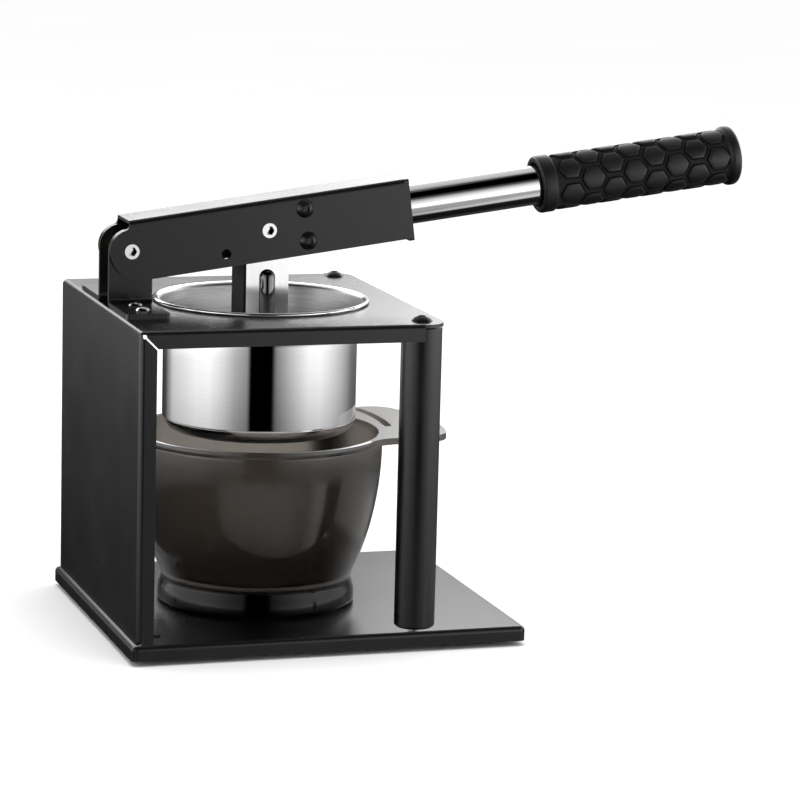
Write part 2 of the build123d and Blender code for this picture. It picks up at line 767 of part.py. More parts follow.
# Press plate with a rounded edge, and the screws that hold it to the yoke
with BuildPart() as press_plate:
    with BuildSketch(Plane.XY.offset(press_bottom)):
        with Locations((cup_x, 0)):
            Circle(press_plate_diameter / 2)
    extrude(amount=press_plate_thickness)
    fillet(press_plate.edges().filter_by(GeomType.CIRCLE), radius=press_plate_round)
    with Locations((cup_x, 0, press_top)):
        with GridLocations(press_screw_spacing, 0, 2, 1):
            Hole(m4_diameter / 2 + running_gap, depth=press_plate_thickness)
press_plate.part.label = "press_plate"
export_step(press_plate.part, "parts/press_plate.step")

press_screw_length = yoke_sheet + press_plate_thickness
press_screw = socket_screw(m4_diameter, press_screw_length, m4_head_diameter, m4_head_height, m4_socket)
with BuildPart() as press_screws:
    with Locations((cup_x, 0, press_top + yoke_sheet)):
        with GridLocations(press_screw_spacing, 0, 2, 1):
            add(press_screw)
press_screws.part.label = "press_screws"
export_step(press_screws.part, "parts/press_screws.step")

# Round-topped peg on the plate, beside the yoke
peg_x = cup_x - peg_setback
peg_y = lever_width / 2 + slide_gap + peg_diameter / 2
with BuildPart() as lift_peg:
    with BuildSketch(Plane.XY.offset(press_top)):
        with Locations((peg_x, -peg_y)):
            Circle(peg_diameter / 2)
    extrude(amount=peg_height - peg_diameter / 2)
    with Locations((peg_x, -peg_y, press_top + peg_height - peg_diameter / 2)):
        Sphere(peg_diameter / 2)
lift_peg.part.label = "lift_peg"
export_step(lift_peg.part, "parts/lift_peg.step")

# Strainer cup: spun sheet, flared to a rolled rim that lies on the plate, with a ledge at its foot
cup_plane = round_profile(cup_x)
cup_axis = Axis((cup_x, 0, 0), (0, 0, 1))
rim_mid = plate_top + rim_roll_diameter / 2
wall_mid = cup_diameter / 2 - cup_sheet / 2
with BuildPart() as juice_cup:
    with BuildSketch(cup_plane):
        with BuildLine():
            FilletPolyline(
                (cup_diameter / 2 - cup_ledge_width, cup_bottom + cup_sheet / 2),
                (wall_mid, cup_bottom + cup_sheet / 2),
                (wall_mid, rim_mid),
                (cup_rim_diameter / 2 - rim_roll_diameter / 2, rim_mid),
                radius=(cup_corner_radius - cup_sheet / 2, cup_flare_radius),
            )
        trace(line_width=cup_sheet)
        with Locations((cup_rim_diameter / 2 - rim_roll_diameter / 2, rim_mid)):
            Circle(rim_roll_diameter / 2)
    revolve(axis=cup_axis)
juice_cup.part.label = "juice_cup"
export_step(juice_cup.part, "parts/juice_cup.step")

# Strainer disc on the ledge, with rings of round holes
strainer_radius = cup_diameter / 2 - cup_corner_radius
ring_pitch = strainer_radius / (strainer_rings + 1)
with BuildPart() as strainer_disc:
    with BuildSketch(Plane.XY.offset(cup_floor)):
        with Locations((cup_x, 0)):
            Circle(strainer_radius)
            Circle(strainer_hole / 2, mode=Mode.SUBTRACT)
            for ring in range(1, strainer_rings + 1):
                with PolarLocations(ring * ring_pitch, ring * strainer_first_count):
                    Circle(strainer_hole / 2, mode=Mode.SUBTRACT)
    extrude(amount=strainer_thickness)
strainer_disc.part.label = "strainer_disc"
export_step(strainer_disc.part, "parts/strainer_disc.step")

# Juice bowl: a moulded bowl on a flared hollow foot, with a slotted thumb tab on its rim
waist_z = base_top + bowl_waist_height
foot_z = base_top + bowl_foot_height
mid_z = base_top + bowl_mid_height
floor_z = waist_z + bowl_floor
opening_radius = bowl_wall_diameter / 2 - bowl_wall
waist_radius = bowl_waist_diameter / 2
foot_radius = waist_radius + bowl_foot_flare
foot_bore_radius = waist_radius - bowl_foot_wall
tab_plane = Plane(origin=(cup_x, 0, bowl_top - rim_thickness)).rotated((0, 0, tab_turn_angle))
tab_root_x = ((bowl_rim_diameter / 2) ** 2 - (tab_width / 2) ** 2) ** 0.5
with BuildPart() as juice_bowl:
    with BuildSketch(cup_plane) as bowl_profile:
        with BuildLine():
            Polyline(
                (0, floor_z),
                (0, floor_z - bowl_floor),
                (foot_bore_radius, waist_z),
                (foot_bore_radius, base_top),
                (foot_radius, base_top),
                (foot_radius, foot_z),
                (waist_radius, waist_z),
            )
            ThreePointArc(
                (waist_radius, waist_z),
                (bowl_mid_diameter / 2, mid_z),
                (bowl_wall_diameter / 2, bowl_top),
            )
            Line((bowl_wall_diameter / 2, bowl_top), (opening_radius, bowl_top))
            ThreePointArc(
                (opening_radius, bowl_top),
                (bowl_mid_diameter / 2 - bowl_wall, mid_z),
                (waist_radius - bowl_wall, floor_z),
            )
            Line((waist_radius - bowl_wall, floor_z), (0, floor_z))
        make_face()
        waist_end = bowl_profile.vertices().sort_by_distance((waist_radius, waist_z))[0]
        fillet(waist_end, radius=bowl_waist_round)
        inside_end = bowl_profile.vertices().sort_by_distance((waist_radius - bowl_wall, floor_z))[0]
        fillet(inside_end, radius=bowl_floor_round)
        foot_end = bowl_profile.vertices().sort_by_distance((foot_radius, base_top))[0]
        fillet(foot_end, radius=bowl_foot_round)
    revolve(axis=cup_axis)
    with BuildSketch(tab_plane) as rim:
        Rectangle(tab_reach, tab_width, align=(Align.MIN, Align.CENTER))
        Circle(tab_reach, mode=Mode.INTERSECT)
        fillet(rim.vertices().group_by(Axis.X)[-1], radius=tab_corner_radius)
        Circle(bowl_rim_diameter / 2)
        roots = [rim.vertices().sort_by_distance((tab_root_x, end * tab_width / 2))[0] for end in (1, -1)]
        fillet(roots, radius=tab_root_radius)
        Circle(opening_radius + bowl_wall / 2, mode=Mode.SUBTRACT)
        with BuildLine():
            slot_line = CenterArc((0, 0), slot_radius, slot_start_angle, slot_sweep_angle)
        SlotArc(slot_line, slot_width, mode=Mode.SUBTRACT)
    extrude(amount=rim_thickness)
juice_bowl.part.label = "juice_bowl"
export_step(juice_bowl.part, "parts/juice_bowl.step")
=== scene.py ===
import json
from math import atan2, cos, degrees, hypot, pi, radians, sin, sqrt

import bpy
from mathutils import Matrix, Vector


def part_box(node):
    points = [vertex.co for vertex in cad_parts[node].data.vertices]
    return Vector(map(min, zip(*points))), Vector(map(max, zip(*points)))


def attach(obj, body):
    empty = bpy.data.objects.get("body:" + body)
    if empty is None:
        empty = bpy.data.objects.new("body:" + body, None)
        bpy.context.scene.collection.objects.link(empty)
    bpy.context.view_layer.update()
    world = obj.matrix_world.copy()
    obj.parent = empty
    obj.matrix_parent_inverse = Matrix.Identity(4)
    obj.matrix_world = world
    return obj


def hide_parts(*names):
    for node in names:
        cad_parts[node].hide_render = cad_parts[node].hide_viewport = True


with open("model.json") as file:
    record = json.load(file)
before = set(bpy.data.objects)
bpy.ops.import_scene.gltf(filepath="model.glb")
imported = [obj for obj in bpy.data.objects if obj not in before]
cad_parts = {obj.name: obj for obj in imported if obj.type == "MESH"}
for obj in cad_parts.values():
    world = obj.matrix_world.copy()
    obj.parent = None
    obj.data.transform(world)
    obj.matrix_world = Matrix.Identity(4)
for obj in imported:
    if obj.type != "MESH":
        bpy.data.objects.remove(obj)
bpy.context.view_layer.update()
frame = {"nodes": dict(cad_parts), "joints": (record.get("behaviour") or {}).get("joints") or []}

# Base pan: one steel sheet folded down on four sides, blasted and powder coated
# satin black in one piece, so it has the fine pebbled skin of a baked coat.
nodes = frame["nodes"]


def node_tree(material):
    """The node tree of a material, with its Principled shader and an object-space point."""
    material.use_nodes = True
    tree = material.node_tree
    shader = tree.nodes["Principled BSDF"]
    place = tree.nodes.new("ShaderNodeTexCoord").outputs["Object"]
    return tree, shader, place


def shader_group(name, inputs, outputs):
    """An empty shader node group with named float, vector or colour sockets."""
    group = bpy.data.node_groups.new(name, "ShaderNodeTree")
    for label, kind, value in inputs:
        socket = group.interface.new_socket(label, in_out="INPUT", socket_type=kind)
        if value is not None:
            socket.default_value = value
    for label, kind in outputs:
        group.interface.new_socket(label, in_out="OUTPUT", socket_type=kind)
    return group, group.nodes.new("NodeGroupInput"), group.nodes.new("NodeGroupOutput")


def wear(node, material):
    """Gives a CAD node one material in place of its own."""
    mesh = nodes[node].data
    mesh.materials.clear()
    mesh.materials.append(material)


coat_group, coat_in, coat_out = shader_group(
    "pebbled_coat",
    [
        ("Point", "NodeSocketVector", None),
        ("Dark", "NodeSocketColor", (0.0022, 0.0022, 0.0023, 1)),
        ("Light", "NodeSocketColor", (0.0055, 0.0055, 0.0058, 1)),
        ("Smooth", "NodeSocketFloat", 0.22),
        ("Rough", "NodeSocketFloat", 0.28),
        ("Pebble Scale", "NodeSocketFloat", 1400.0),
        ("Pebble Depth", "NodeSocketFloat", 0.12),
    ],
    [("Colour", "NodeSocketColor"), ("Roughness", "NodeSocketFloat"), ("Normal", "NodeSocketVector")],
)
cloud = coat_group.nodes.new("ShaderNodeTexNoise")
cloud.inputs["Scale"].default_value = 26.0
cloud.inputs["Detail"].default_value = 4.0
pebble = coat_group.nodes.new("ShaderNodeTexNoise")
pebble.inputs["Detail"].default_value = 3.0
shade = coat_group.nodes.new("ShaderNodeMix")
shade.data_type = "RGBA"
gloss = coat_group.nodes.new("ShaderNodeMapRange")
gloss.inputs["From Min"].default_value = 0.3
gloss.inputs["From Max"].default_value = 0.7
rise = coat_group.nodes.new("ShaderNodeBump")
rise.inputs["Distance"].default_value = 0.0004
link = coat_group.links.new
link(coat_in.outputs["Point"], cloud.inputs["Vector"])
link(coat_in.outputs["Point"], pebble.inputs["Vector"])
link(coat_in.outputs["Pebble Scale"], pebble.inputs["Scale"])
link(cloud.outputs["Fac"], shade.inputs["Factor"])
link(coat_in.outputs["Dark"], shade.inputs["A"])
link(coat_in.outputs["Light"], shade.inputs["B"])
link(cloud.outputs["Fac"], gloss.inputs["Value"])
link(coat_in.outputs["Smooth"], gloss.inputs["To Min"])
link(coat_in.outputs["Rough"], gloss.inputs["To Max"])
link(pebble.outputs["Fac"], rise.inputs["Height"])
link(coat_in.outputs["Pebble Depth"], rise.inputs["Strength"])
link(shade.outputs["Result"], coat_out.inputs["Colour"])
link(gloss.outputs["Result"], coat_out.inputs["Roughness"])
link(rise.outputs["Normal"], coat_out.inputs["Normal"])


def skinned(name, group, values):
    """A material in which a group, as the node named skin, drives colour, gloss and normal."""
    material = bpy.data.materials.new(name)
    tree, shader, place = node_tree(material)
    skin = tree.nodes.new("ShaderNodeGroup")
    skin.name = "skin"
    skin.node_tree = group
    for label, value in values.items():
        skin.inputs[label.replace("_", " ")].default_value = value
    tree.links.new(place, skin.inputs["Point"])
    tree.links.new(skin.outputs["Colour"], shader.inputs["Base Color"])
    tree.links.new(skin.outputs["Roughness"], shader.inputs["Roughness"])
    tree.links.new(skin.outputs["Normal"], shader.inputs["Normal"])
    return material


def coated(name, **values):
    """A black coat or rubber with a pebbled skin."""
    return skinned(name, coat_group, values)


black_coat = coated("black_powder_coat")
wear("base_pan", black_coat)

# Rubber feet: four moulded black rubber discs under the corners of the pan,
# each held by a nut on a stud that is welded to the sheet.
foot_rubber = coated("foot_rubber", Smooth=0.6, Rough=0.8, Pebble_Scale=700.0, Pebble_Depth=0.2)
wear("rubber_feet", foot_rubber)

# Nuts and hidden screws: headed steel with a bright zinc skin, which is slightly
# mottled from the bath and rubbed where a tool has turned it.
metal_group, metal_in, metal_out = shader_group(
    "rubbed_metal",
    [
        ("Point", "NodeSocketVector", None),
        ("Dark", "NodeSocketColor", (0.5, 0.5, 0.51, 1)),
        ("Light", "NodeSocketColor", (0.72, 0.72, 0.73, 1)),
        ("Smooth", "NodeSocketFloat", 0.16),
        ("Rough", "NodeSocketFloat", 0.34),
        ("Mottle Scale", "NodeSocketFloat", 240.0),
        ("Line Stretch", "NodeSocketVector", (1.0, 1.0, 1.0)),
        ("Line Depth", "NodeSocketFloat", 0.04),
    ],
    [("Colour", "NodeSocketColor"), ("Roughness", "NodeSocketFloat"), ("Normal", "NodeSocketVector")],
)
stretch = metal_group.nodes.new("ShaderNodeVectorMath")
stretch.operation = "MULTIPLY"
mottle = metal_group.nodes.new("ShaderNodeTexNoise")
mottle.inputs["Detail"].default_value = 5.0
tone = metal_group.nodes.new("ShaderNodeMix")
tone.data_type = "RGBA"
rub = metal_group.nodes.new("ShaderNodeMapRange")
rub.inputs["From Min"].default_value = 0.3
rub.inputs["From Max"].default_value = 0.7
scratch = metal_group.nodes.new("ShaderNodeBump")
scratch.inputs["Distance"].default_value = 0.0002
link = metal_group.links.new
link(metal_in.outputs["Point"], stretch.inputs[0])
link(metal_in.outputs["Line Stretch"], stretch.inputs[1])
link(stretch.outputs["Vector"], mottle.inputs["Vector"])
link(metal_in.outputs["Mottle Scale"], mottle.inputs["Scale"])
link(mottle.outputs["Fac"], tone.inputs["Factor"])
link(metal_in.outputs["Dark"], tone.inputs["A"])
link(metal_in.outputs["Light"], tone.inputs["B"])
link(mottle.outputs["Fac"], rub.inputs["Value"])
link(metal_in.outputs["Smooth"], rub.inputs["To Min"])
link(metal_in.outputs["Rough"], rub.inputs["To Max"])
link(mottle.outputs["Fac"], scratch.inputs["Height"])
link(metal_in.outputs["Line Depth"], scratch.inputs["Strength"])
link(tone.outputs["Result"], metal_out.inputs["Colour"])
link(rub.outputs["Result"], metal_out.inputs["Roughness"])
link(scratch.outputs["Normal"], metal_out.inputs["Normal"])


def rubbed(name, **values):
    """A bare or plated metal with mottled gloss and fine lines."""
    material = skinned(name, metal_group, values)
    material.node_tree.nodes["Principled BSDF"].inputs["Metallic"].default_value = 1.0
    return material


bright_zinc = rubbed("bright_zinc")
for node in (
    "foot_nuts", "body_screws", "body_nuts", "post_bottom_screws",
    "bracket_nuts", "press_screws", "socket_nuts",
):
    wear(node, bright_zinc)

# Body: rear panel and top plate in one sheet, folded over at the rear and turned down
# at both sides, with mitred corners, in the same coat as the pan. It is kept out of the
# gloss of the other pieces, where it would only blacken the polished cup.
wear("body_shell", black_coat)
nodes["body_shell"].visible_glossy = False

# Posts: two turned steel bars between pan and plate, tapped at both ends, in a coat
# that is a little softer on the round, with black domed screws on top. The near post
# is kept out of the gloss of the cup as the body is.
post_coat = coated("post_coat", Smooth=0.24, Rough=0.34)
wear("post_near", post_coat)
nodes["post_near"].visible_glossy = False
wear("post_far", post_coat)
screw_black = coated("screw_black", Smooth=0.22, Rough=0.36, Pebble_Scale=900.0, Pebble_Depth=0.05)
wear("post_top_screws", screw_black)

# Hinge brackets: two bent, coated plates with long feet on the top plate, held down by
# bright polished screws, with a turned brass bush between their ears.
wear("hinge_bracket_near", black_coat)
wear("hinge_bracket_far", black_coat)
bush_brass = rubbed("bush_brass", Dark=(0.5, 0.34, 0.12, 1), Light=(0.72, 0.54, 0.24, 1))
wear("pivot_bush", bush_brass)
pin_steel = rubbed(
    "pin_steel", Dark=(0.78, 0.78, 0.79, 1), Light=(0.88, 0.88, 0.89, 1), Smooth=0.07, Rough=0.14
)
wear("bracket_screws", pin_steel)

# Lever: a coated sheet folded to a channel that straddles the ears, closed at its front
# by a thin plate. It turns on polished pins with socket heads, and two black bolts hold
# the alloy block inside it that takes the handle.
wear("lever_channel", black_coat)
wear("lever_end_plate", black_coat)
for node in ("pivot_barrel", "pivot_screw", "press_barrel", "press_pin_screw"):
    wear(node, pin_steel)
wear("socket_bolts", screw_black)
block_alloy = rubbed("block_alloy", Dark=(0.42, 0.42, 0.43, 1), Light=(0.6, 0.6, 0.61, 1))
wear("handle_socket", block_alloy)

# Handle tube: drawn steel, polished and chromed to a mirror, pushed into the socket
# block. Under the plating it keeps only a faint mottle of tone and gloss.
bright_chrome = rubbed(
    "bright_chrome", Dark=(0.86, 0.86, 0.87, 1), Light=(0.92, 0.92, 0.93, 1),
    Smooth=0.03, Rough=0.06, Mottle_Scale=90.0, Line_Depth=0.0,
)
wear("handle_tube", bright_chrome)

# Grip: moulded black rubber sleeve, pushed over the tube, with an open mouth, a closed
# flanged end and staggered hexagon pads. The pads are rubbed smoother than the grooves.
hinge = Vector(next(joint["pos_m"] for joint in frame["joints"] if joint["name"] == "lever_hinge"))
lever_slope = radians(7.6)
lever_along = Vector((cos(lever_slope), 0.0, sin(lever_slope)))
lever_above = Vector((-sin(lever_slope), 0.0, cos(lever_slope)))
grip_arm = 0.258
grip_seat = Matrix((Vector((0.0, 1.0, 0.0)), lever_above, lever_along)).transposed().to_4x4()
grip_seat.translation = hinge + lever_along * grip_arm
core_radius = 0.0157
collar_radius = 0.0175
collar_length = 0.009
mouth_radius = 0.014
mouth_depth = 0.006
flange_radius = 0.0183
flange_root = 0.1215
flange_face = 0.1245
grip_length = 0.13
bore_radius = 0.01205
bore_end = 0.1265
sleeve_sides = 72
flange_round = 0.0026
collar_round = 0.0018
mouth_round = 0.0006
shoulder_round = 0.0008
round_steps = 4
sleeve_stops = (
    (bore_radius, mouth_depth), (mouth_radius, mouth_depth), (mouth_radius, 0.0), (collar_radius, 0.0),
    (collar_radius, collar_length), (core_radius, collar_length), (core_radius, flange_root),
    (flange_radius, flange_face), (flange_radius, grip_length),
)
sleeve_rounds = (
    (flange_radius, grip_length, flange_round, round_steps),
    (flange_radius, flange_face, shoulder_round, round_steps),
    (collar_radius, 0.0, collar_round, round_steps),
    (mouth_radius, 0.0, mouth_round, round_steps),
    (collar_radius, collar_length, shoulder_round, round_steps),
)
smooth_angle = radians(40)


def add_ring(name, sides, radius, height, fill="NOTHING"):
    """Adds a ring about the upright axis, with its place in its mesh, and opens it in edit mode."""
    bpy.ops.object.select_all(action="DESELECT")
    bpy.ops.mesh.primitive_circle_add(
        vertices=sides, radius=radius, fill_type=fill, location=(0.0, 0.0, height)
    )
    ring = bpy.context.active_object
    ring.name = name
    ring.data.transform(ring.matrix_world)
    ring.matrix_world = Matrix.Identity(4)
    bpy.ops.object.mode_set(mode="EDIT")
    return ring


def pick_edges(piece, chosen):
    """In edit mode, selects the edges that pass a test of the places of their two ends."""
    bpy.ops.mesh.select_mode(type="EDGE")
    bpy.ops.mesh.select_all(action="DESELECT")
    bpy.ops.object.mode_set(mode="OBJECT")
    for edge in piece.data.edges:
        edge.select = chosen(*(piece.data.vertices[index].co for index in edge.vertices))
    bpy.ops.object.mode_set(mode="EDIT")


def near(value, target):
    """Whether two lengths are the same to a hundredth of a millimetre."""
    return abs(value - target) < 1e-5


def draw_out(extrude, start, stops):
    """In edit mode, extrudes the selected ring from its radius and height through other such stops."""
    last_radius, last_height = start
    for radius, height in stops:
        extrude(TRANSFORM_OT_translate={"value": (0.0, 0.0, height - last_height)})
        swell = radius / last_radius
        bpy.ops.transform.resize(value=(swell, swell, 1.0), center_override=(0.0, 0.0, height))
        last_radius, last_height = radius, height


def round_rings(piece, rounds):
    """In edit mode, rounds rings of edges, each given by radius, height, size and steps."""
    for radius, height, size, steps in rounds:
        pick_edges(piece, lambda *ends: all(
            near(end.z, height) and near(end.xy.length, radius) for end in ends
        ))
        bpy.ops.mesh.bevel(offset=size, segments=steps, affect="EDGES")


def face_outwards():
    """In edit mode, turns all faces of a closed shape outwards and goes back to object mode."""
    bpy.ops.mesh.select_all(action="SELECT")
    bpy.ops.mesh.normals_make_consistent(inside=False)
    bpy.ops.object.mode_set(mode="OBJECT")


grip = add_ring("hex_grip", sleeve_sides, bore_radius, bore_end, "NGON")
pick_edges(grip, lambda first, last: True)
draw_out(bpy.ops.mesh.extrude_edges_move, (bore_radius, bore_end), sleeve_stops)
bpy.ops.mesh.edge_face_add()
round_rings(grip, sleeve_rounds)
face_outwards()

pad_sides = 6
pad_top = 0.017
pad_sunk = 0.0006
pad_groove = 0.002
pads_round = 6
pad_columns = 8
pad_first = 0.012
pad_pitch = 0.01375
pad_length = pad_pitch * 4 / 3 - pad_groove
pad_width = 2 * pad_top * sin(pi / pads_round) - pad_groove
pad_depth = pad_top - core_radius + pad_sunk
pad_turn = radians(-6.0)
pad_corner = 0.0016
pad_edge = 0.0006
pad_round_steps = 3
pad_strips = 8
bpy.ops.object.select_all(action="DESELECT")
bpy.ops.mesh.primitive_cylinder_add(vertices=pad_sides, radius=1.0, depth=2.0)
pad = bpy.context.active_object
pad.data.transform(
    Matrix.Translation((0.0, 0.0, pad_top - pad_depth / 2))
    @ Matrix.Diagonal((pad_width / 2 / cos(pi / pad_sides), pad_length / 2, pad_depth / 2, 1.0))
)
bpy.ops.object.mode_set(mode="EDIT")
pick_edges(pad, lambda first, last: True)
bpy.ops.mesh.bevel(offset=pad_corner, segments=pad_round_steps, affect="EDGES")
pick_edges(pad, lambda *ends: all(near(end.z, pad_top) for end in ends))
bpy.ops.mesh.bevel(offset=pad_edge, segments=pad_round_steps, affect="EDGES")
for strip in range(1, pad_strips):
    share = 2 * strip / pad_strips - 1
    bpy.ops.mesh.select_all(action="SELECT")
    bpy.ops.mesh.bisect(plane_co=(share * pad_width / 2, 0.0, 0.0), plane_no=(1.0, 0.0, 0.0))
bpy.ops.object.mode_set(mode="OBJECT")
for vertex in pad.data.vertices:
    around, along, out = vertex.co
    vertex.co = (out * sin(around / pad_top), out * cos(around / pad_top), along)
for column in range(pad_columns):
    pad_middle = pad_first + (column + 1 / 2) * pad_pitch
    for row in range(pads_round):
        turn = pad_turn + (row + (column % 2) / 2) * 2 * pi / pads_round
        copy = bpy.data.objects.new("grip_pad", pad.data.copy())
        copy.data.transform(Matrix.Translation((0.0, 0.0, pad_middle)) @ Matrix.Rotation(turn, 4, "Z"))
        bpy.context.scene.collection.objects.link(copy)
        copy.select_set(True)
pad.select_set(False)
grip.select_set(True)
bpy.context.view_layer.objects.active = grip
bpy.ops.object.join()
bpy.data.objects.remove(pad)
grip.data.transform(grip_seat)
bpy.ops.object.shade_smooth_by_angle(angle=smooth_angle)


def axis_distance(tree, vector, across):
    """How far points lie from an axis: the length of their share across it."""
    flat = tree.nodes.new("ShaderNodeVectorMath")
    flat.operation = "MULTIPLY"
    flat.inputs[1].default_value = across
    length = tree.nodes.new("ShaderNodeVectorMath")
    length.operation = "LENGTH"
    tree.links.new(vector, flat.inputs[0])
    tree.links.new(flat.outputs["Vector"], length.inputs[0])
    return length.outputs["Value"]


def mapped(tree, value, from_min=0.0, from_max=1.0, to_min=0.0, to_max=1.0):
    """A value over the surface, mapped from one span to another and held at its ends."""
    spread = tree.nodes.new("ShaderNodeMapRange")
    spread.inputs["From Min"].default_value = from_min
    spread.inputs["From Max"].default_value = from_max
    spread.inputs["To Min"].default_value = to_min
    spread.inputs["To Max"].default_value = to_max
    tree.links.new(value, spread.inputs["Value"])
    return spread.outputs["Result"]


pad_worn_margin = 0.0002
grip_rubber = coated("grip_rubber", Pebble_Scale=1000.0, Pebble_Depth=0.1)
tree = grip_rubber.node_tree
point = tree.nodes.new("ShaderNodeTexCoord")
level = tree.nodes.new("ShaderNodeMapping")
level.vector_type = "TEXTURE"
level.inputs["Location"].default_value = grip_seat.translation
level.inputs["Rotation"].default_value = (0.0, -lever_slope, 0.0)
tree.links.new(point.outputs["Object"], level.inputs["Vector"])
reach = axis_distance(tree, level.outputs["Vector"], (0.0, 1.0, 1.0))
for label, groove, crown in (("Smooth", 0.7, 0.38), ("Rough", 0.85, 0.52)):
    worn = mapped(tree, reach, core_radius + pad_worn_margin, pad_top - pad_worn_margin, groove, crown)
    tree.links.new(worn, tree.nodes["skin"].inputs[label])
grip.data.materials.clear()
grip.data.materials.append(grip_rubber)
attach(grip, "lever")
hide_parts("handle_grip")

# Press: a folded, polished stainless yoke on the press pin carries the round press plate,
# with a matt black strap screwed to its rear. A round-topped chrome peg stands on the plate
# for lifting; its colour is painted dark, as painted shade. It is kept out of the gloss, so
# that the yoke doesn't double it.
yoke_steel = rubbed(
    "yoke_steel", Dark=(0.88, 0.88, 0.885, 1), Light=(0.95, 0.95, 0.955, 1),
    Smooth=0.13, Rough=0.2, Mottle_Scale=60.0, Line_Stretch=(8.0, 8.0, 0.4), Line_Depth=0.02,
)
wear("press_yoke", yoke_steel)
wear("press_plate", yoke_steel)
strap_black = coated("strap_black", Smooth=0.5, Rough=0.62)
strap_black.node_tree.nodes["Principled BSDF"].inputs["Specular IOR Level"].default_value = 0.12
wear("press_spine", strap_black)
# The peg is chrome; its dark colour is painted shade.
peg_chrome_painted_shade = rubbed(
    "peg_chrome_painted_shade", Dark=(0.1, 0.1, 0.102, 1), Light=(0.19, 0.19, 0.193, 1),
    Smooth=0.05, Rough=0.1, Mottle_Scale=90.0, Line_Depth=0.0,
)
wear("lift_peg", peg_chrome_painted_shade)
nodes["lift_peg"].visible_glossy = False

# Strainer cup: spun stainless sheet with a tapered mouth and a rolled rim that hangs in
# the top plate. It is polished outside and left brushed inside, with fine lines round
# the wall. Inside, its colour is also painted much darker than the steel, as painted shade.
# The loose strainer disc lies on its ledge.
cup_axis_x = sum(corner.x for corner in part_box("juice_cup")) / 2
cup_sides = 128
cup_sheet = 0.001
cup_floor_height = 0.117
cup_ledge_radius = 0.0412
cup_wall_radius = 0.0577
cup_corner = 0.0085
cup_corner_top = cup_floor_height + cup_corner
cup_mouth_radius = 0.061
cup_mouth_depth = 0.0185
cup_rim_height = 0.1952
cup_mouth_foot = cup_rim_height - cup_mouth_depth
cup_roll_radius = 0.064
cup_curl = 0.0007
cup_corner_steps = 10
cup_mouth_round = 0.002
cup_rim_round = 0.0015
cup_curl_round = 0.0003
cup_curl_steps = 2
cup_stops = (
    (cup_wall_radius, cup_floor_height), (cup_wall_radius, cup_mouth_foot),
    (cup_mouth_radius, cup_rim_height), (cup_roll_radius, cup_rim_height + cup_curl),
    (cup_roll_radius + cup_curl, cup_rim_height), (cup_roll_radius, cup_rim_height - cup_curl),
)
cup_rounds = (
    (cup_wall_radius, cup_floor_height, cup_corner, cup_corner_steps),
    (cup_wall_radius, cup_mouth_foot, cup_mouth_round, round_steps),
    (cup_mouth_radius, cup_rim_height, cup_rim_round, round_steps),
    (cup_roll_radius, cup_rim_height + cup_curl, cup_curl_round, cup_curl_steps),
    (cup_roll_radius + cup_curl, cup_rim_height, cup_curl_round, cup_curl_steps),
)
cup = add_ring("spun_cup", cup_sides, cup_ledge_radius, cup_floor_height)
draw_out(bpy.ops.mesh.extrude_region_move, (cup_ledge_radius, cup_floor_height), cup_stops)
round_rings(cup, cup_rounds)
face_outwards()
sheet = cup.modifiers.new("sheet", "SOLIDIFY")
sheet.thickness = cup_sheet
sheet.offset = 0.0
bpy.ops.object.modifier_apply(modifier=sheet.name)
cup.data.transform(Matrix.Translation((cup_axis_x, 0.0, 0.0)))
bpy.ops.object.shade_smooth_by_angle(angle=smooth_angle)


def worked(tree, operation, first, second=None):
    """One step of arithmetic on numbers or on values over the surface."""
    step = tree.nodes.new("ShaderNodeMath")
    step.operation = operation
    for socket, value in zip(step.inputs, (first, second)):
        if isinstance(value, (int, float)):
            socket.default_value = value
        elif value is not None:
            tree.links.new(value, socket)
    return step.outputs["Value"]


def mixed(tree, share, first, second):
    """A colour between two others, of which each is a fixed colour or varies over the surface."""
    mix = tree.nodes.new("ShaderNodeMix")
    mix.data_type = "RGBA"
    for label, colour in (("A", first), ("B", second)):
        if isinstance(colour, tuple):
            mix.inputs[label].default_value = colour
        else:
            tree.links.new(colour, mix.inputs[label])
    tree.links.new(share, mix.inputs["Factor"])
    return mix.outputs["Result"]


wall_margin = 0.0002
corner_margin = 0.001
cup_steel = rubbed("cup_steel", Mottle_Scale=40.0, Line_Stretch=(0.5, 0.5, 40.0))
tree = cup_steel.node_tree
skin = tree.nodes["skin"]
point = tree.nodes.new("ShaderNodeTexCoord")
from_axis = tree.nodes.new("ShaderNodeVectorMath")
from_axis.operation = "SUBTRACT"
from_axis.inputs[1].default_value = (cup_axis_x, 0.0, 0.0)
tree.links.new(point.outputs["Object"], from_axis.inputs[0])
reach = axis_distance(tree, from_axis.outputs["Vector"], (1.0, 1.0, 0.0))
upright = tree.nodes.new("ShaderNodeSeparateXYZ")
tree.links.new(point.outputs["Object"], upright.inputs["Vector"])
height = upright.outputs["Z"]
wall = mapped(tree, height, cup_mouth_foot, cup_rim_height, cup_wall_radius, cup_mouth_radius)
outward = worked(tree, "SUBTRACT", reach, wall)
outside = mapped(tree, outward, -wall_margin, wall_margin)
for label, brushed, polished in (("Smooth", 0.26, 0.03), ("Rough", 0.4, 0.07), ("Line Depth", 0.35, 0.0)):
    tree.links.new(mapped(tree, outside, to_min=brushed, to_max=polished), skin.inputs[label])
corner = mapped(tree, height, cup_corner_top - corner_margin, cup_corner_top, 1.0, 0.0)
bright = worked(tree, "MAXIMUM", outside, corner)
# Inside, the darker brushed colours are painted shade; the polished colours also cover the rounded corner
# and the floor.
for label, brushed, polished in (
    ("Dark", (0.15, 0.15, 0.153, 1), (0.78, 0.78, 0.79, 1)),
    ("Light", (0.56, 0.56, 0.565, 1), (0.88, 0.88, 0.89, 1)),
):
    tree.links.new(mixed(tree, bright, brushed, polished), skin.inputs[label])
cup.data.materials.append(cup_steel)
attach(cup, "frame")
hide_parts("juice_cup")
wear("strainer_disc", cup_steel)

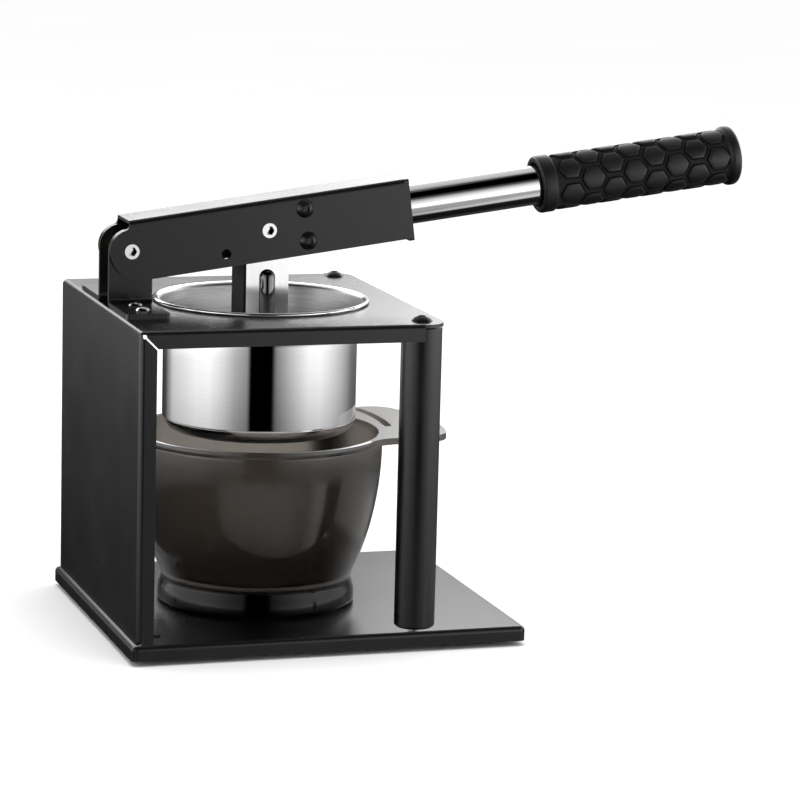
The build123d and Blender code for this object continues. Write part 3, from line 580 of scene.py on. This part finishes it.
# Juice bowl: injection moulded smoke-brown clear plastic on a hollow flared foot, with a
# slotted thumb tab on its rim, loose on the pan. Faint flow marks are left in the moulding.
bowl_axis_x = cup_axis_x
bowl_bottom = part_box("juice_bowl")[0].z
bowl_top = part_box("juice_bowl")[1].z
bowl_sides = 128
bowl_wall = 0.0022
bowl_pole_radius = 0.008
foot_bore_radius = 0.0537
foot_radius = 0.0597
foot_rise = 0.007
foot_height = bowl_bottom + foot_rise
waist_radius = 0.0573
waist_rise = 0.0155
waist_height = bowl_bottom + waist_rise
belly_radius = 0.067
belly_rise = 0.0415
belly_height = bowl_bottom + belly_rise
bowl_floor_thickness = 0.003
bowl_floor_height = waist_height + bowl_floor_thickness
bowl_wall_radius = 0.0747
bowl_rim_radius = 0.0755
bowl_rim_thickness = 0.004
rim_under = bowl_top - bowl_rim_thickness
bowl_mouth_radius = bowl_wall_radius - bowl_wall
wall_steps = 14
waist_round = 0.0022
waist_steps = 3
foot_edge_round = 0.0028
foot_shoulder_round = 0.0026
rim_top_round = 0.0005
rim_under_round = 0.0004
rim_steps = 2


def arc_points(center, radius, start, stop, steps):
    """Points on an arc from one angle to another, in degrees."""
    points = []
    for step in range(steps + 1):
        angle = radians(start + (stop - start) * step / steps)
        points.append((center[0] + radius * cos(angle), center[1] + radius * sin(angle)))
    return points


def arc_through(first, middle, last, steps):
    """Points on the arc from the first point through the middle one to the last."""
    (ax, ay), (bx, by), (cx, cy) = first, middle, last
    a_square, b_square, c_square = ax**2 + ay**2, bx**2 + by**2, cx**2 + cy**2
    double = 2 * (ax * (by - cy) + bx * (cy - ay) + cx * (ay - by))
    x = (a_square * (by - cy) + b_square * (cy - ay) + c_square * (ay - by)) / double
    y = (a_square * (cx - bx) + b_square * (ax - cx) + c_square * (bx - ax)) / double
    start, stop = degrees(atan2(ay - y, ax - x)), degrees(atan2(cy - y, cx - x))
    return arc_points((x, y), hypot(ax - x, ay - y), start, stop, steps)


outer_wall = arc_through(
    (waist_radius, waist_height), (belly_radius, belly_height), (bowl_wall_radius, bowl_top), wall_steps
)
inner_wall = arc_through(
    (bowl_mouth_radius, bowl_top), (belly_radius - bowl_wall, belly_height),
    (waist_radius - bowl_wall, bowl_floor_height), wall_steps,
)
bowl_stops = [
    (foot_bore_radius, waist_height), (foot_bore_radius, bowl_bottom),
    (foot_radius, bowl_bottom), (foot_radius, foot_height),
    *(stop for stop in outer_wall if stop[1] < rim_under),
    (bowl_wall_radius, rim_under), (bowl_rim_radius, rim_under), (bowl_rim_radius, bowl_top),
    *inner_wall,
    (bowl_pole_radius, bowl_floor_height),
]
bowl_rounds = (
    (waist_radius, waist_height, waist_round, waist_steps),
    (waist_radius - bowl_wall, bowl_floor_height, waist_round, waist_steps),
    (foot_radius, bowl_bottom, foot_edge_round, round_steps),
    (foot_radius, foot_height, foot_shoulder_round, round_steps),
    (bowl_rim_radius, bowl_top, rim_top_round, rim_steps),
    (bowl_rim_radius, rim_under, rim_under_round, rim_steps),
)
bowl = add_ring("smoke_bowl", bowl_sides, bowl_pole_radius, waist_height, "NGON")
pick_edges(bowl, lambda first, last: True)
draw_out(bpy.ops.mesh.extrude_edges_move, (bowl_pole_radius, waist_height), bowl_stops)
bpy.ops.mesh.edge_face_add()
round_rings(bowl, bowl_rounds)
face_outwards()

tab_reach = 0.1136
tab_half_width = 0.05
tab_corner = 0.016
tab_root = 0.026
front_steps, turn_steps, inner_steps = 20, 10, 30
corner_y = tab_half_width - tab_corner
corner_x = sqrt((tab_reach - tab_corner) ** 2 - corner_y**2)
root_y = tab_half_width + tab_root
root_x = sqrt((bowl_rim_radius + tab_root) ** 2 - root_y**2)
corner_turn = degrees(atan2(corner_y, corner_x))
root_turn = degrees(atan2(root_y, root_x))
tab_outline = (
    arc_points((0.0, 0.0), tab_reach, -corner_turn, corner_turn, front_steps)
    + arc_points((corner_x, corner_y), tab_corner, corner_turn, 90.0, turn_steps)[1:]
    + arc_points((root_x, root_y), tab_root, -90.0, root_turn - 180.0, turn_steps)
    + arc_points((0.0, 0.0), bowl_mouth_radius + bowl_wall / 2, root_turn, -root_turn, inner_steps)
    + arc_points((root_x, -root_y), tab_root, 180.0 - root_turn, 90.0, turn_steps)
    + arc_points((corner_x, -corner_y), tab_corner, -90.0, -corner_turn, turn_steps)[:-1]
)
slot_center = (-0.065, 0.0273)
slot_bend = 0.15
slot_half_width = 0.0026
slot_start, slot_stop = -15.4, 6.0
slot_steps, slot_end_steps = 16, 8
slot_ends = [arc_points(slot_center, slot_bend, angle, angle, 1)[0] for angle in (slot_start, slot_stop)]
slot_outline = (
    arc_points(slot_center, slot_bend + slot_half_width, slot_start, slot_stop, slot_steps)
    + arc_points(slot_ends[1], slot_half_width, slot_stop, slot_stop + 180.0, slot_end_steps)[1:-1]
    + arc_points(slot_center, slot_bend - slot_half_width, slot_stop, slot_start, slot_steps)
    + arc_points(slot_ends[0], slot_half_width, slot_start + 180.0, slot_start + 360.0, slot_end_steps)[1:-1]
)
tab_plates = []
for outline, low, thickness in (
    (tab_outline, rim_under, bowl_rim_thickness),
    (slot_outline, rim_under - bowl_rim_thickness, 3 * bowl_rim_thickness),
):
    bpy.ops.object.select_all(action="DESELECT")
    bpy.ops.mesh.primitive_circle_add(vertices=len(outline), radius=tab_reach, fill_type="NGON")
    plate = bpy.context.active_object
    for vertex, (x, y) in zip(plate.data.vertices, outline):
        vertex.co = (x, y, low)
    bpy.ops.object.mode_set(mode="EDIT")
    bpy.ops.mesh.select_all(action="SELECT")
    bpy.ops.mesh.extrude_region_move(TRANSFORM_OT_translate={"value": (0.0, 0.0, thickness)})
    face_outwards()
    tab_plates.append(plate)
tab, slot_cutter = tab_plates
for carrier, tool, operation in ((tab, slot_cutter, "DIFFERENCE"), (bowl, tab, "UNION")):
    bpy.context.view_layer.objects.active = carrier
    join = carrier.modifiers.new("join", "BOOLEAN")
    join.object = tool
    join.operation = operation
    join.solver = "EXACT"
    bpy.ops.object.modifier_apply(modifier=join.name)
    bpy.data.objects.remove(tool)
weld = 1e-6
bowl_turn = radians(7.0)
bpy.ops.object.select_all(action="DESELECT")
bowl.select_set(True)
bpy.ops.object.mode_set(mode="EDIT")
bpy.ops.mesh.select_all(action="SELECT")
bpy.ops.mesh.remove_doubles(threshold=weld)
bpy.ops.mesh.dissolve_degenerate(threshold=weld)
bpy.ops.object.mode_set(mode="OBJECT")
bowl.data.transform(Matrix.Translation((bowl_axis_x, 0.0, 0.0)) @ Matrix.Rotation(bowl_turn, 4, "Z"))
bpy.ops.object.shade_smooth_by_angle(angle=smooth_angle)

# The near-black colour of the foot is painted shade.
foot_painted_shade = (0.012, 0.011, 0.01, 1)
smoke_dark = (0.138, 0.123, 0.111, 1)
smoke_light = (0.165, 0.147, 0.132, 1)
polish_below, polish_above = 0.002, 0.004
foot_polish_and_shade = 0.12
foot_haze, wall_haze = 0.12, 0.4
smoke = bpy.data.materials.new("smoke_plastic")
tree, shader, place = node_tree(smoke)
shader.inputs["IOR"].default_value = 1.25
shader.inputs["Specular IOR Level"].default_value = 0.0
shader.inputs["Transmission Weight"].default_value = 1.0
shader.inputs["Coat Roughness"].default_value = 0.04
flow = tree.nodes.new("ShaderNodeTexNoise")
flow.inputs["Scale"].default_value = 14.0
flow.inputs["Detail"].default_value = 2.0
tree.links.new(place, flow.inputs["Vector"])
upright = tree.nodes.new("ShaderNodeSeparateXYZ")
tree.links.new(place, upright.inputs["Vector"])
# This mask sets the coat's gloss and the haze, and also paints the foot near black below the waist as
# painted shade.
polish_and_painted_shade = mapped(
    tree, upright.outputs["Z"], waist_height - polish_below, waist_height + polish_above, foot_polish_and_shade
)
haze = mapped(tree, polish_and_painted_shade, from_min=foot_polish_and_shade, to_min=foot_haze, to_max=wall_haze)
tint = mixed(tree, flow.outputs["Fac"], smoke_dark, smoke_light)
tree.links.new(mixed(tree, polish_and_painted_shade, foot_painted_shade, tint), shader.inputs["Base Color"])
tree.links.new(polish_and_painted_shade, shader.inputs["Coat Weight"])
tree.links.new(haze, shader.inputs["Roughness"])
bowl.data.materials.clear()
bowl.data.materials.append(smoke)
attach(bowl, "bowl")
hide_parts("juice_bowl")

# Studio: a pale matt floor that runs far behind the juicer, under an even white sky.
# The floor is kept out of the gloss, which belongs to the tent.
floor_size = 24.0
floor_middle = (0.0, 6.0, 0.0)
floor_dark, floor_light = 0.9, 0.93
sky_strength = 1.06
bpy.ops.object.select_all(action="DESELECT")
bpy.ops.mesh.primitive_plane_add(size=floor_size, location=floor_middle)
floor = bpy.context.active_object
floor.name = "studio_floor"
floor.data.transform(floor.matrix_world)
floor.matrix_world = Matrix.Identity(4)
floor.visible_glossy = False
pale = bpy.data.materials.new("pale_floor")
tree, shader, place = node_tree(pale)
grey = tree.nodes.new("ShaderNodeTexNoise")
grey.inputs["Scale"].default_value = 3.0
tree.links.new(place, grey.inputs["Vector"])
paleness = mapped(tree, grey.outputs["Fac"], to_min=floor_dark, to_max=floor_light)
tree.links.new(paleness, shader.inputs["Base Color"])
shader.inputs["Roughness"].default_value = 0.9
shader.inputs["Specular IOR Level"].default_value = 0.0
floor.data.materials.append(pale)
world = bpy.data.worlds.new("white_room")
bpy.context.scene.world = world
world.use_nodes = True
sky = world.node_tree.nodes["Background"]
sky.inputs["Color"].default_value = (1.0, 1.0, 1.0, 1.0)
sky.inputs["Strength"].default_value = sky_strength

# Light tent: a round tent of white cloth about the juicer, seen only in the gloss of its
# surfaces. It is bright at both sides and behind, and slit where the camera looks in.
# Its light is drawn by rows of (degrees, brightness), azimuth counting from the camera.
view_azimuth = radians(-18.041)
view_elevation = radians(10.410)
view_roll = radians(1.485)
tent_radius = 1.3
tent_centre = Vector((-0.05, 0.0, 0.15))
bpy.ops.object.select_all(action="DESELECT")
bpy.ops.mesh.primitive_uv_sphere_add(segments=64, ring_count=32, radius=tent_radius, location=tent_centre)
tent = bpy.context.active_object
tent.name = "light_tent"
tent.data.transform(tent.matrix_world)
tent.matrix_world = Matrix.Identity(4)
tent.visible_camera = False
tent.visible_diffuse = False
tent.visible_transmission = False
tent.visible_volume_scatter = False
tent.visible_shadow = False
cloth = bpy.data.materials.new("tent_cloth")
cloth.use_nodes = True
tree = cloth.node_tree
tree.nodes.clear()
point = tree.nodes.new("ShaderNodeTexCoord")
turn = tree.nodes.new("ShaderNodeMapping")
turn.vector_type = "TEXTURE"
turn.inputs["Location"].default_value = tent_centre
turn.inputs["Rotation"].default_value = (0.0, 0.0, view_azimuth)
parts = tree.nodes.new("ShaderNodeSeparateXYZ")
tree.links.new(point.outputs["Object"], turn.inputs["Vector"])
tree.links.new(turn.outputs["Vector"], parts.inputs["Vector"])


def times(first, second):
    """The product of two values in the tent's cloth."""
    return worked(tree, "MULTIPLY", first, second)


def plus(first, second):
    """The sum of two values in the tent's cloth."""
    return worked(tree, "ADD", first, second)


def without(share):
    """What a share of the tent's cloth leaves over."""
    return worked(tree, "SUBTRACT", 1.0, share)


def tent_curve(value, stops):
    """A brightness read off a row of (place, brightness) stops in the tent's cloth."""
    low, high = stops[0][0], stops[-1][0]
    peak = max(bright for _, bright in stops)
    ramp = tree.nodes.new("ShaderNodeValToRGB")
    marks = ramp.color_ramp.elements
    for mark, (_, bright) in zip(marks, (stops[0], stops[-1])):
        mark.color = (bright / peak, bright / peak, bright / peak, 1.0)
    for place, bright in stops[1:-1]:
        mark = marks.new((place - low) / (high - low))
        mark.color = (bright / peak, bright / peak, bright / peak, 1.0)
    tree.links.new(mapped(tree, value, low, high), ramp.inputs["Fac"])
    return times(ramp.outputs["Color"], peak)


across = parts.outputs["X"]
toward = times(parts.outputs["Y"], -1.0)
flat_reach = worked(tree, "SQRT", plus(times(across, across), times(toward, toward)))
azimuth = worked(tree, "DEGREES", worked(tree, "ARCTAN2", across, toward))
elevation = worked(tree, "DEGREES", worked(tree, "ARCTAN2", parts.outputs["Z"], flat_reach))
sides = tent_curve(azimuth, [
    (-180, 0.04), (-140, 0.07), (-126, 0.45), (-119, 0.76), (-95, 0.98), (-76, 1.2), (-59, 1.26),
    (-43, 0.96), (-28, 0.56), (-14, 0.36), (-10, 0.0), (15, 0.0), (20, 0.28), (29, 0.48),
    (44, 0.84), (60, 1.22), (77, 1.27), (97, 0.93), (122, 0.5), (140, 0.2), (180, 0.05),
])
rows = tent_curve(elevation, [
    (-90, 0.08), (-24, 0.08), (-20, 0.34), (-16, 0.48), (-12, 0.85), (-9.5, 1.0), (-7.8, 2.2),
    (4, 1.8), (22, 1.1), (38, 0.12), (48, 0.0), (72, 0.0), (90, 0.3),
])
low_sides = tent_curve(azimuth, [
    (-180, 0.04), (-39, 0.05), (-33, 0.4), (0, 0.46), (28, 0.55), (36, 0.42), (50, 0.42),
    (58, 1.0), (65, 1.1), (70, 0.08), (180, 0.06),
])
low_rows = tent_curve(elevation, [
    (-90, 0.05), (-58, 0.1), (-52, 0.2), (-47, 0.5), (-33, 0.75), (-27, 0.9), (90, 0.9),
])
right_sides = tent_curve(azimuth, [(-180, 0.0), (82, 0.0), (88, 1.0), (150, 1.0), (165, 0.0), (180, 0.0)])
right_rows = tent_curve(elevation, [
    (-90, 0.0), (-33, 0.0), (-30, 0.42), (-21, 0.42), (-18, 0.15), (-16, 0.0), (90, 0.0),
])
upper = tent_curve(elevation, [(-90, 0.0), (-21, 0.0), (-17.5, 1.0), (90, 1.0)])
front_upper = times(times(sides, rows), upper)
front_lower = times(times(low_sides, low_rows), without(upper))
front_right = times(right_sides, right_rows)
front = plus(plus(front_upper, front_lower), front_right)
turned = worked(tree, "ABSOLUTE", azimuth)
rear_close = tent_curve(turned, [(0, 0.0), (147, 0.0), (168, 1.0), (180, 1.0)])
rear_wide = tent_curve(turned, [(0, 0.0), (95, 0.0), (130, 1.0), (180, 1.0)])
rear_high = tent_curve(elevation, [(-90, 0.0), (13, 0.0), (18, 1.0), (90, 1.0)])
rear = worked(tree, "MAXIMUM", rear_close, times(rear_wide, rear_high))
rear_rows = tent_curve(elevation, [
    (-90, 0.02), (-20, 0.04), (-14, 0.07), (-8, 0.18), (0, 0.7), (5, 1.2), (8.5, 0.75),
    (11, 1.3), (13, 2.5), (18, 5.0), (30, 3.0), (46, 0.8), (68, 0.6), (90, 0.3),
])
share_across = worked(tree, "DIVIDE", across, flat_reach)
rear_side = tent_curve(share_across, [(-1, 0.15), (-0.1, 0.15), (0.05, 1.0), (1, 1.0)])
rear_even = worked(tree, "MAXIMUM", rear_side, rear_high)
front_light = times(front, without(rear))
rear_light = times(times(rear_rows, rear), rear_even)
glow = tree.nodes.new("ShaderNodeEmission")
tree.links.new(plus(front_light, rear_light), glow.inputs["Strength"])
end = tree.nodes.new("ShaderNodeOutputMaterial")
tree.links.new(glow.outputs["Emission"], end.inputs["Surface"])
tent.data.materials.append(cloth)

# Overhead light: a wide soft disc high above the juicer and a little before it, which
# lights the matt surfaces and draws the soft shadow under the pan.
overhead = bpy.data.lights.new("overhead_soft", "AREA")
overhead.shape = "DISK"
overhead.size = 1.6
overhead.energy = 22.0
overhead_lamp = bpy.data.objects.new("overhead_soft", overhead)
overhead_lamp.location = (-0.1, -0.2, 2.0)
overhead_lamp.visible_glossy = False
bpy.context.scene.collection.objects.link(overhead_lamp)

# Camera: a long lens at the height of the lever, a little to the left of the near side,
# tipped down and rolled slightly, as the photograph was taken.
view_target = Vector((-0.011635, 0.0, 0.13051))
view_distance = 2.1278
focal_pixels = 3491.5
picture_pixels = 800.0
camera_data = bpy.data.cameras.new("studio_camera")
camera_data.sensor_width = 36.0
camera_data.lens = focal_pixels / picture_pixels * camera_data.sensor_width
camera_data.clip_start = 0.05
camera_data.clip_end = 60.0
camera = bpy.data.objects.new("studio_camera", camera_data)
bpy.context.scene.collection.objects.link(camera)
back = Vector((
    sin(view_azimuth) * cos(view_elevation), -cos(view_azimuth) * cos(view_elevation), sin(view_elevation)
))
flat_right = Vector((cos(view_azimuth), sin(view_azimuth), 0.0))
flat_up = back.cross(flat_right)
right = flat_right * cos(view_roll) + flat_up * sin(view_roll)
up = flat_up * cos(view_roll) - flat_right * sin(view_roll)
stand = view_target + back * view_distance
camera.matrix_world = Matrix((
    (right.x, up.x, back.x, stand.x),
    (right.y, up.y, back.y, stand.y),
    (right.z, up.z, back.z, stand.z),
    (0.0, 0.0, 0.0, 1.0),
))
bpy.context.scene.camera = camera
bpy.context.scene.view_settings.view_transform = "Standard"
